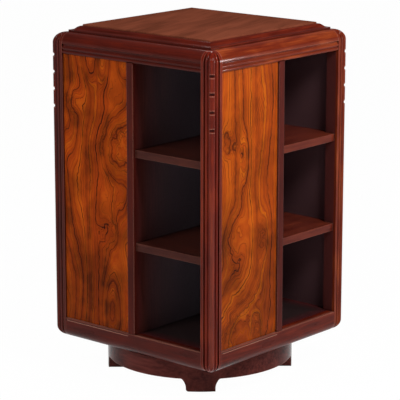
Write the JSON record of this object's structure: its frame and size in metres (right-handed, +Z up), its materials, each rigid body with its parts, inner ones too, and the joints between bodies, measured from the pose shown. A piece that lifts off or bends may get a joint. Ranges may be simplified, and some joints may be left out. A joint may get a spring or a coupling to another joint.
{
  "type": "revolving bookcase",
  "caption": "Square mahogany bookcase with burl panels and open compartments on every face, turning on a round drum base with bracket feet.",
  "frame": {"origin": "on the floor, on the upright turning axis", "axes": "+Z up, the case's faces square to X and Y, the pictured corner at +X -Y"},
  "size_m": [0.483, 0.483, 0.8164],
  "materials": {
    "mahogany": "French polished red mahogany, satin gloss",
    "burl_veneer": "polished figured veneer with dark veins",
    "top_veneer": "polished brown veneer",
    "shelf_mahogany": "polished dark mahogany",
    "base_mahogany": "dark polished mahogany",
    "plain_board": "plain sanded board",
    "steel": "bright machined steel",
    "bronze": "turned bearing bronze"
  },
  "bodies": {
    "base": {"base_drum": "base_mahogany", "base_board": "plain_board", "base_board_screws": "steel", "lower_race": "steel", "lower_race_screws": "steel", "spindle_bush": "bronze"},
    "case": {"corner_post_1": "mahogany", "corner_post_2": "mahogany", "corner_post_3": "mahogany", "corner_post_4": "mahogany", "top_rail_1": "mahogany", "top_rail_2": "mahogany", "top_rail_3": "mahogany", "top_rail_4": "mahogany", "bottom_rail_1": "mahogany", "bottom_rail_2": "mahogany", "bottom_rail_3": "mahogany", "bottom_rail_4": "mahogany", "centre_stile_1": "mahogany", "centre_stile_2": "mahogany", "centre_stile_3": "mahogany", "centre_stile_4": "mahogany", "top_moulding_1": "mahogany", "top_moulding_2": "mahogany", "top_moulding_3": "mahogany", "top_moulding_4": "mahogany", "burl_panel_1": "burl_veneer", "burl_panel_2": "burl_veneer", "burl_panel_3": "burl_veneer", "burl_panel_4": "burl_veneer", "top_panel": "top_veneer", "shelf_lower_1": "shelf_mahogany", "shelf_lower_2": "shelf_mahogany", "shelf_lower_3": "shelf_mahogany", "shelf_lower_4": "shelf_mahogany", "shelf_upper_1": "shelf_mahogany", "shelf_upper_2": "shelf_mahogany", "shelf_upper_3": "shelf_mahogany", "shelf_upper_4": "shelf_mahogany", "partition_long": "shelf_mahogany", "partition_half_1": "shelf_mahogany", "partition_half_2": "shelf_mahogany", "bottom_board": "shelf_mahogany", "top_board": "shelf_mahogany", "turntable_board": "plain_board", "upper_race": "steel", "spindle": "steel", "retaining_washer": "steel", "retaining_nut": "steel", "upper_race_screws": "steel", "spindle_screws": "steel", "turntable_screws": "steel"},
    "cage": {"ball_cage": "steel", "bearing_balls": "steel"}
  },
  "joints": [
    {"name": "case_turn", "type": "hinge", "parent": "base", "child": "case", "pos_m": [0, 0, 0.073], "axis": [0, 0, 1], "continuous": true},
    {"name": "cage_roll", "type": "hinge", "parent": "base", "child": "cage", "pos_m": [0, 0, 0.073], "axis": [0, 0, 1], "continuous": true}
  ],
  "couplings": [
    {"joint": "cage_roll", "follows": "case_turn", "ratio": 0.5}
  ]
}
